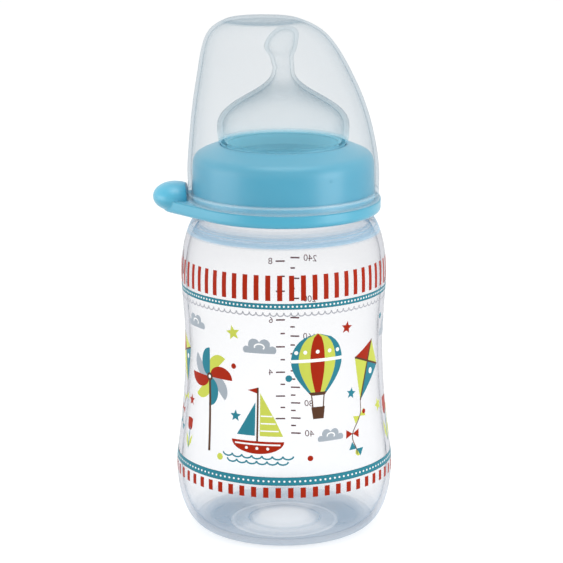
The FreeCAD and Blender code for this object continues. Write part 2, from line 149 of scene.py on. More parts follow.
# Look of the thick foot: painted shadow of the floor seen through it, lighter in the middle, with thin
# painted refraction lines. Rings are (radius, density) from the axis outward.
FOOT_LEVEL = 1.7            # height between the underside and the floor inside
FOOT_BLUR = 0.2
FOOT_FADE = (4.0, 6.5)      # heights over which the foot's density fades
UNDERSIDE_RINGS = (
    (0.0, 0.05), (10.5, 0.05), (11.6, 0.26), (12.0, 0.26), (12.6, 0.1), (16.4, 0.14), (16.8, 0.0),
    (17.6, 0.0), (18.0, 0.24), (27.0, 0.24), (36.0, 0.2),
)
FLOOR_RINGS = (
    (0.0, 0.0), (24.0, 0.0), (26.4, 0.1), (26.8, 0.0), (29.0, 0.0), (30.0, 0.1), (32.0, 0.0), (36.0, 0.0),
)
LOBE_PLACE = (16.5, 5.0)    # a painted shadow lobe to each side of the middle
LOBE_SIZE = (10.0, 15.0)
LOBE_EDGE = 0.72            # share of the lobe that is full
LOBE_DENSITY = 0.14

# Skins
SKIN_INSET = 0.05           # the bottle is drawn this far inside its solid, so that ink lies flush
HOOD_INSET = 0.03           # and the hood, so that its rim doesn't share a face with the ring
SKIN_STEP = 0.25            # the bottle's radius is measured at steps of this height,
SKIN_MARGIN = 1.0           # from this far below the print to this far above it,
SKIN_TURNS = 7              # and at so many angles of a quarter turn

# Inks: the colour, and how far below the solid's surface it lies; one that lies higher covers the others
INKS = {
    "lime": ((0.58, 0.64, 0.1), 0.034),
    "grey": ((0.38, 0.43, 0.48), 0.03),
    "red": ((0.38, 0.022, 0.006), 0.026),
    "teal": ((0.03, 0.22, 0.29), 0.022),
    "deep": ((0.02, 0.13, 0.18), 0.018),
    "brown": ((0.1, 0.045, 0.026), 0.014),
    "white": ((0.95, 0.96, 0.96), 0.008),
    "lace": ((0.42, 0.43, 0.47), 0.026),
}
SCALE_INK = ((0.2, 0.06, 0.06), 0.022)
INK_EDGE = 1.2              # longest edge of an ink mesh, so that it follows the curve
INK_CUTS = 6                # rounds of cutting that are enough for that

# Rows of the print: heights on the bottle
PRINT_RADIUS = 33.0         # flat shapes are laid out at this radius
PRINT_HALF_ANGLE = 97.0     # degrees to each side of the middle of the front
UPPER_STRIPES = (83.4, 91.5)
UPPER_RIBBON = (80.6, 82.5)
LOWER_RIBBON = (23.5, 26.2)
LOWER_STRIPES = (19.4, 22.8)
STRIPE_COUNT = 56           # stripes on a full turn
STRIPE_SHARE = 0.44
UPPER_STRIPE_OFFSET = -0.35  # shift of each row, in stripes
LOWER_STRIPE_OFFSET = -0.49
UPPER_DOT_STEP = 1.36
LOWER_DOT_STEP = 1.56
RIBBON_DOT_RADIUS = 0.33
RIBBON_DOT_SIDES = 10
RIBBON_EDGE = 0.16
LACE_TOP = 79.6
LACE_DROP = 1.15
LACE_STEP = 2.2
LACE_LINE = 0.42
LACE_SIDES = 12

# Pictures of the print: places on the flat layout, from the middle of the front
KITES = (                   # x, y, width, height, tilt, reach of the tail, how far it sways
    (-45, 61, 12, 17, 18, (-4, -16), 1.5),
    (32, 60, 14, 20, -20, (-5, -17), 1.8),
)
TAIL_STEPS = 30
TAIL_WAVES = 1.25
TAIL_LINE = 0.35
BOW_STEP = 9                # steps of the tail from bow to bow
PINWHEEL = (-27, 56, 9.5, (1.5, -24))  # x, y, radius, reach of the stick
BOAT = (-8.5, 37.5, 17)     # x, y, width
BALLOON = (11, 63.5, 8.8)   # x, y, radius
TULIPS = (("red", 45, 30, 15), ("lime", 50.5, 30, 11), ("red", -37, 30, 10))  # ink, x, y, height
CLOUDS = ((-34, 71, 9), (-8, 66, 10), (47, 66, 11), (15, 37, 8))  # x, y, width
STARS = (                   # ink, x, y, radius, tilt
    ("lime", -17, 72, 2.6, 10), ("red", 21.5, 73, 2.2, -8), ("teal", -16, 45, 2.0, 0),
    ("lime", 38, 44, 2.4, 15), ("teal", 23.5, 51, 2.0, -12), ("red", -37, 46, 2.0, 5),
)
DOTS = (                    # ink, x, y, radius
    ("red", -17, 61, 0.9), ("teal", 1.5, 58, 1.1), ("lime", 25, 31.5, 1.2), ("red", 8, 32, 0.9),
    ("teal", 41, 73, 1.0), ("lime", -21, 31, 1.1), ("red", 29, 44, 0.8), ("teal", -52, 73, 1.1),
)

DOT_SIDES = 20
SPOT_SIDES = 12             # of the small dots on the pictures
HUB_SIDES = 16              # of the pinwheel's middle

# Shapes of the pictures at unit size
STAR_POINTS = 5
STAR_WAIST = 0.45
CLOUD_CORNERS = ((-0.5, 0.0), (-0.36, 0.21), (0.0, 0.36), (0.34, 0.225), (0.5, 0.0))
BALLOON_FOOT = -1.3         # lowest point, from the middle
BALLOON_MOUTH = 0.26        # half width there
BALLOON_TIP = 0.04          # half width at the top
BALLOON_GORES = (           # ink, from and to as shares of the half width
    ("teal", -1.0, -0.72), ("lime", -0.72, -0.28), ("red", -0.28, 0.28), ("lime", 0.28, 0.72),
    ("teal", 0.72, 1.0),
)
BALLOON_BAND = 0.32         # height of the row of dots
GORE_STEPS = 16
RIM_STEPS = 4
BASKET_DROP = 0.42          # from the mouth down to the basket
BASKET_DEPTH = 0.44
BOAT_MAST = 1.02
BOAT_MAIN_SAIL = ((0.045, 0.1), (0.48, 0.1), (0.34, 0.4), (0.045, 0.92))
BOAT_FORE_SAIL = ((-0.045, 0.1), (-0.4, 0.1), (-0.045, 0.74))
WAVE_STEP = 0.19
TULIP_RIM = [(0.17, 1.0), (0.08, 0.86), (0.0, 1.02), (-0.08, 0.86), (-0.17, 1.0)]

# Measuring scale on the back
SCALE_MIDDLE = 180          # degrees from the middle of the front
SCALE_FIRST = 40            # millilitres
SCALE_LAST = 240
SCALE_STEP = 10
SCALE_LONG_STEP = 20        # from one long mark to the next
SCALE_NUMBER_STEP = 40
SCALE_START = 19.2          # height of the first mark
SCALE_SLOPE = 0.2695        # millimetres for each ml there
SCALE_BEND = 0.00023        # and its growth up the bottle
OUNCE = 29.57
OUNCE_FIRST = 2
OUNCE_LAST = 8
OUNCE_NUMBER_STEP = 2
SCALE_TICK = 3.1
SCALE_LINE = 0.55
SCALE_TICK_LEFT = -5.4
OUNCE_TICK_LEFT = -0.4
SCALE_DIGIT_SIZE = 3.2
SCALE_DIGIT_GAP = 1.3

# Screw threads
THREAD_LEAD = 6.0
THREAD_HALF_WIDTH = 1.1
THREAD_PHASE = 111.0        # height of the neck thread's helix at the angle 0
THREAD_NECK_LOW = 111.0     # where each thread starts
THREAD_RING_LOW = 110.5
THREAD_RISE = 8.0
THREAD_NECK = (25.9, 27.1)  # root and crest on the neck
THREAD_RING = (27.6, 26.5)  # and in the bore of the ring
THREAD_STEPS = 140
THREAD_TAPER = 0.12         # share of its length over which the thread runs out at each end

# Gate mark on the ring's wall
GATE_TURN = 30.6            # degrees to the right of the front
GATE_HEIGHT = 119.85
GATE_RADIUS = 0.5
GATE_PROFILE = ((1.0, -0.03), (0.85, 0.05), (0.6, 0.04), (0.4, -0.01))  # share of the radius, rise
GATE_SIDES = 24


# Pieces

def new_object(name, mesh, body, material):
    """A piece that rides on a body of the frame."""
    thing = bpy.data.objects.new(name, mesh)
    bpy.context.scene.collection.objects.link(thing)
    mesh.materials.append(material)
    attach(thing, body)
    return thing


def mesh_data(mesh, name):
    """Turns a working mesh into the mesh of a piece."""
    data = bpy.data.meshes.new(name)
    mesh.to_mesh(data)
    mesh.free()
    return data


def bridge(mesh, rows):
    """Joins closed rows of points, each to the next, with faces."""
    for row, following in zip(rows, rows[1:]):
        for side in range(len(row)):
            after = (side + 1) % len(row)
            mesh.faces.new((row[side], row[after], following[after], following[side]))


# Parts of the materials

def new_material(name):
    """A new material, with its nodes, its links and its shader."""
    material = bpy.data.materials.new(name)
    material.use_nodes = True
    tree = material.node_tree
    return material, tree.nodes, tree.links, tree.nodes["Principled BSDF"]


def place_on(nodes, links):
    """The place on the object, whole and split into X, Y and Z."""
    place = nodes.new("ShaderNodeTexCoord").outputs["Object"]
    split = nodes.new("ShaderNodeSeparateXYZ")
    links.new(place, split.inputs["Vector"])
    return place, split.outputs


def noise(nodes, links, scale, detail):
    """Noise over the object; scale is in waves for each metre."""
    place = nodes.new("ShaderNodeTexCoord")
    texture = nodes.new("ShaderNodeTexNoise")
    texture.inputs["Scale"].default_value = scale
    texture.inputs["Detail"].default_value = detail
    links.new(place.outputs["Object"], texture.inputs["Vector"])
    return texture.outputs["Fac"]


def span(nodes, links, value, low, high):
    """Brings a 0 to 1 value into a range."""
    spread = nodes.new("ShaderNodeMapRange")
    spread.inputs["To Min"].default_value = low
    spread.inputs["To Max"].default_value = high
    links.new(value, spread.inputs["Value"])
    return spread.outputs["Result"]


def step_at(nodes, links, value, low, high, start, end):
    """Goes from start to end between the heights low and high."""
    step = nodes.new("ShaderNodeMapRange")
    step.inputs["From Min"].default_value = low * MM
    step.inputs["From Max"].default_value = high * MM
    step.inputs["To Min"].default_value = start
    step.inputs["To Max"].default_value = end
    links.new(value, step.inputs["Value"])
    return step.outputs["Result"]


def joined(nodes, links, operation, first, second):
    """Two values brought together, kept between 0 and 1."""
    result = nodes.new("ShaderNodeMath")
    result.operation = operation
    result.use_clamp = True
    links.new(first, result.inputs[0])
    links.new(second, result.inputs[1])
    return result.outputs["Value"]


def length_of(nodes, links, vector):
    """The length of a vector."""
    length = nodes.new("ShaderNodeVectorMath")
    length.operation = "LENGTH"
    links.new(vector, length.inputs[0])
    return length.outputs["Value"]


def ramp_of(nodes, links, value, stops, smooth):
    """A colour ramp; each stop is (position, red, green, blue, alpha)."""
    ramp = nodes.new("ShaderNodeValToRGB")
    ramp.color_ramp.interpolation = smooth
    marks = ramp.color_ramp.elements
    while len(marks) < len(stops):
        marks.new(0.5)
    for mark, (position, *colour) in zip(marks, stops):
        mark.position = position
        mark.color = colour
    links.new(value, ramp.inputs["Fac"])
    return ramp.outputs


def curve_of(nodes, links, value, pairs, smooth):
    """A value that follows (position, value) pairs."""
    stops = [(position, level, level, level, 1) for position, level in pairs]
    return ramp_of(nodes, links, value, stops, smooth)["Color"]


def ripple(nodes, links, shader):
    """The faint waviness of a moulded surface."""
    bump = nodes.new("ShaderNodeBump")
    bump.inputs["Strength"].default_value = RIPPLE_STRENGTH
    bump.inputs["Distance"].default_value = RIPPLE_HEIGHT * MM
    links.new(noise(nodes, links, *RIPPLE_GRAIN), bump.inputs["Height"])
    links.new(bump.outputs["Normal"], shader.inputs["Normal"])


def absorb(nodes, links, colour, density):
    """Lets the plastic darken what is seen through it, the more the thicker it is."""
    inside = nodes.new("ShaderNodeVolumeAbsorption")
    inside.inputs["Color"].default_value = (*colour, 1)
    inside.inputs["Density"].default_value = density
    links.new(inside.outputs["Volume"], nodes["Material Output"].inputs["Volume"])


def ring_density(nodes, links, place, rings):
    """Density by the distance from the axis."""
    reach = rings[-1][0]
    flat = nodes.new("ShaderNodeVectorMath")
    flat.operation = "MULTIPLY"
    flat.inputs[1].default_value = (1 / (reach * MM), 1 / (reach * MM), 0)
    links.new(place, flat.inputs[0])
    away = length_of(nodes, links, flat.outputs["Vector"])
    return curve_of(nodes, links, away, [(radius / reach, dense) for radius, dense in rings], "LINEAR")


def lobe_density(nodes, links, parts):
    """Painted shadow: the density of the two lobes beside the middle of the foot."""
    side = nodes.new("ShaderNodeMath")
    side.operation = "ABSOLUTE"
    links.new(parts["X"], side.inputs[0])
    flat = nodes.new("ShaderNodeCombineXYZ")
    links.new(side.outputs["Value"], flat.inputs["X"])
    links.new(parts["Y"], flat.inputs["Y"])
    shifted = nodes.new("ShaderNodeVectorMath")
    shifted.operation = "MULTIPLY_ADD"
    shifted.inputs[1].default_value = (*(1 / (size * MM) for size in LOBE_SIZE), 0)
    shifted.inputs[2].default_value = (*(-at / size for at, size in zip(LOBE_PLACE, LOBE_SIZE)), 0)
    links.new(flat.outputs["Vector"], shifted.inputs[0])
    away = length_of(nodes, links, shifted.outputs["Vector"])
    return curve_of(nodes, links, away, ((LOBE_EDGE, LOBE_DENSITY), (1, 0)), "EASE")


def foot_density(nodes, links):
    """Painted shadow in the thick foot, with its rings and lobes; it fades out above the foot."""
    place, parts = place_on(nodes, links)
    inside = step_at(nodes, links, parts["Z"], FOOT_LEVEL - FOOT_BLUR, FOOT_LEVEL + FOOT_BLUR, 0, 1)
    rings = nodes.new("ShaderNodeMix")
    links.new(inside, rings.inputs["Factor"])
    links.new(ring_density(nodes, links, place, UNDERSIDE_RINGS), rings.inputs["A"])
    links.new(ring_density(nodes, links, place, FLOOR_RINGS), rings.inputs["B"])
    whole = joined(nodes, links, "ADD", rings.outputs["Result"], lobe_density(nodes, links, parts))
    return joined(nodes, links, "MULTIPLY", whole, step_at(nodes, links, parts["Z"], *FOOT_FADE, 1, 0))


# Materials

def clear_material(name, rough, shine, body, veil, bands, foot=False):
    """Clear plastic or silicone: its body darkens and its skin veils what is behind it."""
    material, nodes, links, shader = new_material(name)
    absorb(nodes, links, *body)
    ripple(nodes, links, shader)
    shader.inputs["Specular IOR Level"].default_value = shine
    links.new(span(nodes, links, noise(nodes, links, *CLEAR_GRAIN), *rough), shader.inputs["Roughness"])
    _, parts = place_on(nodes, links)
    top = bands[-1][0]
    level = step_at(nodes, links, parts["Z"], 0, top, 0, 1)
    tints = [(height / top, *colour, dense) for height, colour, _, dense in bands]
    shares = [(height / top, share) for height, _, share, _ in bands]
    band = ramp_of(nodes, links, level, tints, "EASE")
    facing = nodes.new("ShaderNodeLayerWeight").outputs["Facing"]
    outline = curve_of(nodes, links, facing, veil, "LINEAR")
    skin = joined(nodes, links, "MULTIPLY", outline, curve_of(nodes, links, level, shares, "EASE"))
    density = joined(nodes, links, "ADD", skin, band["Alpha"])
    # the foot's painted shadow
    if foot:
        density = joined(nodes, links, "ADD", density, foot_density(nodes, links))
    links.new(density, shader.inputs["Alpha"])
    links.new(band["Color"], shader.inputs["Base Color"])
    return material


def solid_material(name, colour, rough, mottle, shine):
    """Plastic or ink with a slight unevenness."""
    material, nodes, links, shader = new_material(name)
    shader.inputs["Specular IOR Level"].default_value = shine
    grain = noise(nodes, links, *SOLID_GRAIN)
    mix = nodes.new("ShaderNodeMix")
    mix.data_type = "RGBA"
    mix.inputs["A"].default_value = (*(c * (1 - mottle) for c in colour), 1)
    mix.inputs["B"].default_value = (*(c * (1 + mottle) for c in colour), 1)
    links.new(grain, mix.inputs["Factor"])
    links.new(mix.outputs["Result"], shader.inputs["Base Color"])
    roughness = span(nodes, links, grain, rough - ROUGH_SPREAD, rough + ROUGH_SPREAD)
    links.new(roughness, shader.inputs["Roughness"])
    return material


def ring_material():
    """The ring's plastic, with painted shade on its flange and tab, a painted sheen on its roof, and soft
    moulded edges.
    """
    material = solid_material("ring_plastic", TURQUOISE, RING_ROUGH, RING_MOTTLE, RING_SHINE)
    nodes, links = material.node_tree.nodes, material.node_tree.links
    shader = nodes["Principled BSDF"]
    _, parts = place_on(nodes, links)
    colour = shader.inputs["Base Color"].links[0].from_socket
    # painted shade deepens the flange and tab, and a painted sheen pales the roof
    for tint, heights, shares in ((FLANGE_PAINTED_SHADE, FLANGE_SHADE_FADE, (1, 0)), (ROOF_PAINTED_SHEEN, ROOF_SHEEN_FADE, (0, 1))):
        tone = nodes.new("ShaderNodeMix")
        tone.data_type = "RGBA"
        links.new(step_at(nodes, links, parts["Z"], *heights, *shares), tone.inputs["Factor"])
        links.new(colour, tone.inputs["A"])
        tone.inputs["B"].default_value = (*tint, 1)
        colour = tone.outputs["Result"]
    links.new(colour, shader.inputs["Base Color"])
    shader.inputs["Sheen Weight"].default_value = RING_SHEEN
    shader.inputs["Sheen Roughness"].default_value = RING_SHEEN_ROUGH
    shader.inputs["Sheen Tint"].default_value = (*RING_SHEEN_TINT, 1)
    edge = nodes.new("ShaderNodeBevel")
    edge.samples = EDGE_SAMPLES
    edge.inputs["Radius"].default_value = RING_SOFT_EDGE * MM
    links.new(edge.outputs["Normal"], shader.inputs["Normal"])
    return material


def dress(node, material):
    """Gives a CAD node its material."""
    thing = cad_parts[node]
    thing.data.materials.clear()
    thing.data.materials.append(material)
    return thing


def draw_inside(thing, inset):
    """Draws a solid a little inside its own surface."""
    skin = thing.modifiers.new("skin", "DISPLACE")
    skin.strength = -inset * MM
    skin.mid_level = 0


# Flat shapes of the print: x runs along the bottle's skin and y up it

def arc(x, y, wide, high, start, end, steps):
    """Points on an ellipse; angles in degrees."""
    turns = [math.radians(start + (end - start) * step / steps) for step in range(steps + 1)]
    return [(x + wide * math.cos(turn), y + high * math.sin(turn)) for turn in turns]


def corners(left, right, low, high):
    return [(left, low), (right, low), (right, high), (left, high)]


def fill(ink, outline):
    ink.faces.new([ink.verts.new((x, y, 0)) for x, y in outline])


def disc(ink, x, y, radius, steps):
    fill(ink, arc(x, y, radius, radius, 0, 360, steps)[:-1])


def stroke(ink, points, width):
    """A line of even width through the points."""
    sides = []
    for index, point in enumerate(points):
        before = Vector(points[max(index - 1, 0)])
        after = Vector(points[min(index + 1, len(points) - 1)])
        along = (after - before).normalized()
        across = Vector((-along.y, along.x)) * width / 2
        sides.append([ink.verts.new((*(Vector(point) + across * way), 0)) for way in (1, -1)])
    for (left, right), (next_left, next_right) in zip(sides, sides[1:]):
        ink.faces.new((left, right, next_right, next_left))


class Pen:
    """Draws shapes of unit size: scales them, turns them by tilt degrees and moves them to x and y."""

    def __init__(self, inks, x, y, size, tilt=0.0):
        self.inks = inks
        self.x, self.y = x, y
        self.size = size
        self.turn = math.radians(tilt)

    def at(self, points):
        """Where points of the unit shape come to lie."""
        c, s = self.size * math.cos(self.turn), self.size * math.sin(self.turn)
        return [(self.x + c * px - s * py, self.y + s * px + c * py) for px, py in points]

    def fill(self, kind, outline):
        fill(self.inks[kind], self.at(outline))

    def stroke(self, kind, points, width):
        stroke(self.inks[kind], self.at(points), width * self.size)

    def spot(self, kind, x, y, radius):
        disc(self.inks[kind], *self.at([(x, y)])[0], radius * self.size, SPOT_SIDES)


# Rows of the print

def half_turn():
    """Half the printed width, along the flat layout."""
    return math.radians(PRINT_HALF_ANGLE) * PRINT_RADIUS


def stripes(ink, low, high, offset):
    """A row of upright stripes."""
    pitch = 2 * math.pi * PRINT_RADIUS / STRIPE_COUNT
    half = pitch * STRIPE_SHARE / 2
    count = int(half_turn() / pitch)
    for number in range(-count, count + 1):
        middle = (number + offset) * pitch
        fill(ink, corners(middle - half, middle + half, low, high))


def ribbon(inks, low, high, dot_step):
    """A band with a darker hem and a row of dots."""
    half = half_turn()
    fill(inks["teal"], corners(-half, half, low, high))
    fill(inks["deep"], corners(-half, half, low, low + RIBBON_EDGE))
    fill(inks["deep"], corners(-half, half, high - RIBBON_EDGE, high))
    count = int(half / dot_step)
    for number in range(-count + 1, count):
        disc(inks["white"], number * dot_step, (low + high) / 2, RIBBON_DOT_RADIUS, RIBBON_DOT_SIDES)


def lace(ink):
    """A row of hanging loops under the upper ribbon."""
    count = int(half_turn() / LACE_STEP)
    for number in range(-count, count):
        middle = (number + 0.5) * LACE_STEP
        loop = arc(middle, LACE_TOP, LACE_STEP / 2, LACE_DROP, 180, 360, LACE_SIDES)
        stroke(ink, loop, LACE_LINE)


# Pictures of the print

def star(pen, kind):
    """A star with its first point up."""
    outline = []
    for corner in range(2 * STAR_POINTS):
        reach = 1 if corner % 2 == 0 else STAR_WAIST
        turn = math.radians(90 + 180 / STAR_POINTS * corner)
        outline.append((reach * math.cos(turn), reach * math.sin(turn)))
    pen.fill(kind, outline)


def cloud(pen):
    """A scalloped oval with a flat foot, and a swirl on it."""
    outline = []
    for (ax, ay), (bx, by) in zip(CLOUD_CORNERS, CLOUD_CORNERS[1:]):
        radius = math.hypot(bx - ax, by - ay) / 2
        start = math.degrees(math.atan2(ay - by, ax - bx))
        outline += arc((ax + bx) / 2, (ay + by) / 2, radius, radius, start, start - 180, 10)[:-1]
    outline.append(CLOUD_CORNERS[-1])
    pen.fill("grey", outline)
    pen.stroke("white", arc(0, 0.21, 0.16, 0.1, 200, -40, 14), 0.05)


def balloon_half_width(level):
    """Half the width of the balloon at a height."""
    if level >= 0:
        return math.sqrt(max(1 - level ** 2, BALLOON_TIP ** 2))
    return BALLOON_MOUTH + (1 - BALLOON_MOUTH) * math.cos(math.pi / 2 * level / BALLOON_FOOT)


def panel(pen, kind, low, high, left, right, steps):
    """The part of the balloon between two heights and two shares of its half width."""
    levels = [low + (high - low) * step / steps for step in range(steps + 1)]
    outline = [(left * balloon_half_width(level), level) for level in levels]
    outline += [(right * balloon_half_width(level), level) for level in reversed(levels)]
    pen.fill(kind, outline)


def balloon(pen):
    """A hot-air balloon with gores, a dotted band and a wicker basket."""
    for kind, left, right in BALLOON_GORES:
        panel(pen, kind, BALLOON_FOOT, 1, left, right, GORE_STEPS)
    panel(pen, "brown", BALLOON_FOOT, BALLOON_FOOT + 0.12, -1, 1, RIM_STEPS)
    panel(pen, "white", -0.06, 0.06, -1, 1, RIM_STEPS)
    for share in (-0.85, -0.5, 0.0, 0.5, 0.85):
        pen.spot("white", share * balloon_half_width(BALLOON_BAND), BALLOON_BAND, 0.075)
    top = BALLOON_FOOT - BASKET_DROP
    low = top - BASKET_DEPTH
    for side in (-1, 1):
        pen.stroke("brown", [(side * 0.24, BALLOON_FOOT), (side * 0.2, top)], 0.045)
    pen.fill("brown", [(-0.26, top), (-0.2, low), (0.2, low), (0.26, top)])
    for share in (0.3, 0.65):
        weave = top - BASKET_DEPTH * share
        pen.fill("lime", corners(-0.2, 0.2, weave, weave + 0.05))


def kite(inks, x, y, wide, high, tilt, tail, sway):
    """A kite of four panels with crossed spars, and a waving tail with bows."""
    pen = Pen(inks, x, y, high, tilt)
    half = wide / high / 2
    top, left, foot, right = (0, 0.36), (-half, 0), (0, -0.64), (half, 0)
    for kind, first, second in (
        ("red", top, left), ("lime", top, right), ("lime", left, foot), ("teal", right, foot),
    ):
        pen.fill(kind, [(0, 0), first, second])
    for spar in ((top, foot), (left, right)):
        pen.stroke("brown", spar, 0.03)
    pen.spot("white", 0.4 * half, -0.14, 0.05)
    start_x, start_y = pen.at([foot])[0]
    string = []
    for step in range(TAIL_STEPS + 1):
        share = step / TAIL_STEPS
        swing = sway * math.sin(2 * math.pi * TAIL_WAVES * share) * math.sqrt(share)
        string.append((start_x + swing + tail[0] * share, start_y + tail[1] * share))
    stroke(inks["brown"], string, TAIL_LINE)
    for number, kind in enumerate(("lime", "red", "teal")):
        bow = Pen(inks, *string[BOW_STEP * (number + 1)], 0.13 * high, 20 - 25 * number)
        for side in (-1, 1):
            bow.fill(kind, [(0, 0), (side, 0.55), (side, -0.55)])


def pinwheel(inks, x, y, radius, stick):
    """A paper pinwheel on a stick."""
    stroke(inks["brown"], [(x, y), (x + stick[0], y + stick[1])], 0.1 * radius)
    kinds = ("red", "lime", "teal", "grey") * 2
    vane = [(0, 0)] + arc(0.5, 0, 0.5, 0.42, 0, 150, 12)
    for number, kind in enumerate(kinds):
        Pen(inks, x, y, radius, 360 * number / len(kinds)).fill(kind, vane)
    disc(inks["brown"], x, y, 0.14 * radius, HUB_SIDES)
    disc(inks["white"], x, y, 0.06 * radius, SPOT_SIDES)


def boat(pen):
    """A little sailing boat on two rows of waves."""
    pen.fill("red", arc(0, 0, 0.5, 0.24, 180, 360, 20))
    pen.stroke("white", [(-0.43, -0.06), (0.43, -0.06)], 0.03)
    for share in (-0.2, 0.0, 0.2):
        pen.spot("white", share, -0.135, 0.028)
    pen.stroke("brown", [(0, 0), (0, BOAT_MAST)], 0.035)
    pen.fill("lime", BOAT_MAIN_SAIL)
    pen.fill("teal", BOAT_FORE_SAIL)
    for row, height in enumerate((0.2, 0.34, 0.48)):
        pen.stroke("white", [(0.06, height), (0.4 - 0.06 * row, height)], 0.025)
    pen.fill("red", [(0, BOAT_MAST), (-0.2, BOAT_MAST - 0.06), (0, BOAT_MAST - 0.12)])
    for row in range(2):
        height = -0.27 - 0.1 * row
        for number in range(-3, 4 - row):
            middle = (number + 0.5 * row) * WAVE_STEP
            pen.stroke("teal", arc(middle, height, WAVE_STEP / 2, 0.06, 180, 360, 8), 0.03)


def tulip(pen, kind):
    """A tulip with two leaves."""
    pen.stroke("teal", [(0, 0), (0.02, 0.7)], 0.045)
    for side in (-1, 1):
        pen.fill("lime", [(0, 0), (side * 0.16, 0.2), (side * 0.22, 0.5), (side * 0.06, 0.3)])
    pen.fill(kind, arc(0, 0.75, 0.16, 0.15, 180, 360, 14) + TULIP_RIM)


def pictures(inks):
    """All the pictures between the two ribbons."""
    for settings in KITES:
        kite(inks, *settings)
    pinwheel(inks, *PINWHEEL)
    boat(Pen(inks, *BOAT))
    balloon(Pen(inks, *BALLOON))
    for kind, *place in TULIPS:
        tulip(Pen(inks, *place), kind)
    for place in CLOUDS:
        cloud(Pen(inks, *place))
    for kind, *place in STARS:
        star(Pen(inks, *place), kind)
    for kind, *place in DOTS:
        disc(inks[kind], *place, DOT_SIDES)


# Measuring scale

def digits(ink, number, right, height):
    """A plain number, set to end at right, with its middle at height."""
    curve = bpy.data.curves.new("digits", "FONT")
    curve.body = str(number)
    curve.size = SCALE_DIGIT_SIZE
    curve.align_x = "RIGHT"
    curve.align_y = "CENTER"
    thing = bpy.data.objects.new("digits", curve)
    bpy.context.scene.collection.objects.link(thing)
    mesh = bpy.data.meshes.new_from_object(thing)
    mesh.transform(Matrix.Translation((right, height, 0)))
    ink.from_mesh(mesh)
    bpy.data.objects.remove(thing)
    bpy.data.curves.remove(curve)
    bpy.data.meshes.remove(mesh)


def scale_height(millilitres):
    """Where the bottle is filled to so many millilitres."""
    more = millilitres - SCALE_FIRST
    return SCALE_START + SCALE_SLOPE * more + SCALE_BEND * more ** 2


def tick(ink, left, length, height):
    fill(ink, corners(left, left + length, height - SCALE_LINE / 2, height + SCALE_LINE / 2))


def scale():
    """Marks and numbers for millilitres, and beside them for ounces and half ounces."""
    ink = bmesh.new()
    tick_right = SCALE_TICK_LEFT + SCALE_TICK
    for amount in range(SCALE_FIRST, SCALE_LAST + 1, SCALE_STEP):
        length = SCALE_TICK if amount % SCALE_LONG_STEP == 0 else SCALE_TICK / 2
        tick(ink, tick_right - length, length, scale_height(amount))
        if amount % SCALE_NUMBER_STEP == 0:
            digits(ink, amount, SCALE_TICK_LEFT - SCALE_DIGIT_GAP, scale_height(amount))
    for half_ounces in range(2 * OUNCE_FIRST, 2 * OUNCE_LAST + 1):
        ounces = half_ounces / 2
        height = scale_height(ounces * OUNCE)
        tick(ink, OUNCE_TICK_LEFT, SCALE_TICK if ounces.is_integer() else SCALE_TICK / 2, height)
        if ounces % OUNCE_NUMBER_STEP == 0:
            digits(ink, int(ounces), OUNCE_TICK_LEFT + SCALE_TICK + 2 * SCALE_DIGIT_GAP, height)
    return ink


# From the flat layout to the bottle

def outward_at(turn):
    """The direction away from the axis, at an angle from the middle of the front."""
    return Vector((math.sin(turn), -math.cos(turn), 0))


def radius_of(thing, turn, height):
    """The outside radius of a solid, felt out from outside."""
    outward = outward_at(turn)
    start = outward * 2 * PRINT_RADIUS + Vector((0, 0, height))
    _, place, _, _ = thing.ray_cast(start * MM, -outward)
    return place.xy.length / MM


def skin_radius(thing):
    """The bottle's outside radius at any printed height."""
    heights = np.arange(LOWER_STRIPES[0] - SKIN_MARGIN, UPPER_STRIPES[1] + SKIN_MARGIN, SKIN_STEP)
    turns = np.linspace(0, math.pi / 2, SKIN_TURNS)
    radii = [max(radius_of(thing, turn, height) for turn in turns) for height in heights]
    return lambda height: float(np.interp(height, heights, radii))


def wrap(ink, kind, colour, depth, radius_at, middle=0.0):
    """Cuts the flat shapes fine, lays them round the bottle and makes one piece of them."""
    name = "print_" + kind
    bmesh.ops.triangulate(ink, faces=ink.faces)
    for _ in range(INK_CUTS):
        long_edges = [edge for edge in ink.edges if edge.calc_length() > INK_EDGE]
        if not long_edges:
            break
        bmesh.ops.subdivide_edges(ink, edges=long_edges, cuts=1)
        bmesh.ops.triangulate(ink, faces=[face for face in ink.faces if len(face.verts) > 3])
    for vertex in ink.verts:
        turn = vertex.co.x / PRINT_RADIUS + math.radians(middle)
        height = vertex.co.y
        vertex.co = (outward_at(turn) * (radius_at(height) - depth) + Vector((0, 0, height))) * MM
    data = mesh_data(ink, name)
    data.shade_smooth()
    new_object(name, data, "bottle", solid_material(name, colour, INK_ROUGH, INK_MOTTLE, INK_SHINE))


# Screw threads and gate mark

def thread(name, root, crest, phase, low, body, material):
    """A tapered ridge on a right-hand helix that is at the height phase at the angle 0."""
    mesh = bmesh.new()
    rows = []
    for step in range(THREAD_STEPS + 1):
        share = step / THREAD_STEPS
        height = low + share * THREAD_RISE
        turn = 2 * math.pi * (height - phase) / THREAD_LEAD
        grown = min(1, share / THREAD_TAPER, (1 - share) / THREAD_TAPER)
        top = root + (crest - root) * grown
        section = (
            (root, -THREAD_HALF_WIDTH),
            (top, -THREAD_HALF_WIDTH / 2),
            (top, THREAD_HALF_WIDTH / 2),
            (root, THREAD_HALF_WIDTH),
        )
        rows.append([
            mesh.verts.new(Vector((r * math.cos(turn), r * math.sin(turn), height + up)) * MM)
            for r, up in section
        ])
    bridge(mesh, rows)
    mesh.faces.new(rows[0])
    mesh.faces.new(rows[-1])
    bmesh.ops.recalc_face_normals(mesh, faces=mesh.faces)
    return new_object(name, mesh_data(mesh, name), body, material)


